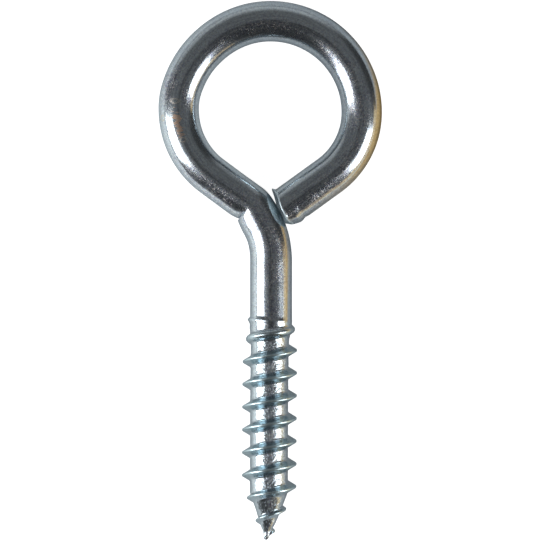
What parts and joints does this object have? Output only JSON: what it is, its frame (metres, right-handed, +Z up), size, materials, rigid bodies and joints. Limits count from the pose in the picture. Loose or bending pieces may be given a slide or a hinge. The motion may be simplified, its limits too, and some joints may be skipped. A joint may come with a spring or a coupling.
{
  "type": "screw eye",
  "caption": "Round steel wire with a closed ring bent at one end and a coarse right-hand wood thread with a gimlet point at the other.",
  "frame": {"origin": "middle of the footprint, on the surface the part lies on", "axes": "+Y along the shank from the point to the eye, +Z up, square to the plane of the eye, +X to the side where the wire's cut end is"},
  "size_m": [0.0332, 0.08, 0.0084],
  "materials": {
    "zinc_plated_steel": "bright blue-white zinc plate, glossy with a fine speckle"
  },
  "bodies": {
    "root": {"screw_eye": "zinc_plated_steel"}
  },
  "joints": []
}
